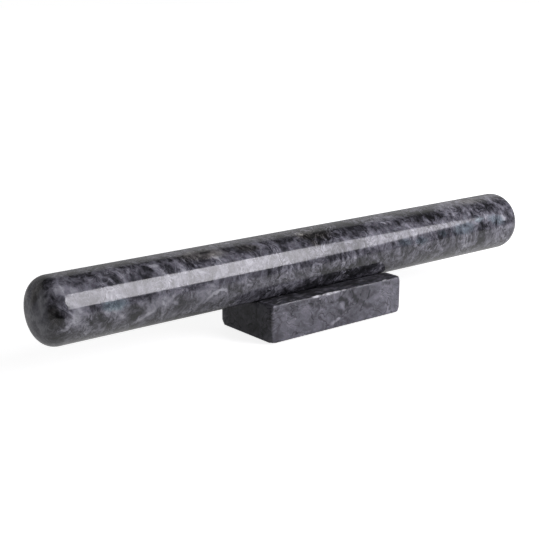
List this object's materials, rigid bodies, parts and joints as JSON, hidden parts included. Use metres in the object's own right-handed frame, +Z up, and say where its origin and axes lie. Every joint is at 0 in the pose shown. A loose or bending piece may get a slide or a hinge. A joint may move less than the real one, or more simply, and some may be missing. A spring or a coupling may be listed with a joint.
{
  "type": "rolling pin",
  "caption": "Handle-less rolling pin turned from one piece of dark grey marble, lying in the groove of its own small marble stand.",
  "frame": {"origin": "on the worktop, under the middle of the pin", "axes": "+X runs along the pin, +Y across it, away from the stand's front face, and +Z points up"},
  "size_m": [0.404, 0.055, 0.065],
  "materials": {
    "polished_marble": "polished",
    "honed_marble": "honed",
    "pad_foam": "matt"
  },
  "bodies": {
    "stand": {"stand": "honed_marble", "foot_pad_front_left": "pad_foam", "foot_pad_front_right": "pad_foam", "foot_pad_back_left": "pad_foam", "foot_pad_back_right": "pad_foam"},
    "pin": {"rolling_pin": "polished_marble"}
  },
  "joints": [
    {"name": "pin_lift", "type": "slide", "parent": "stand", "child": "pin", "axis": [0, 0, 1], "range_m": [0, 0.06]}
  ]
}
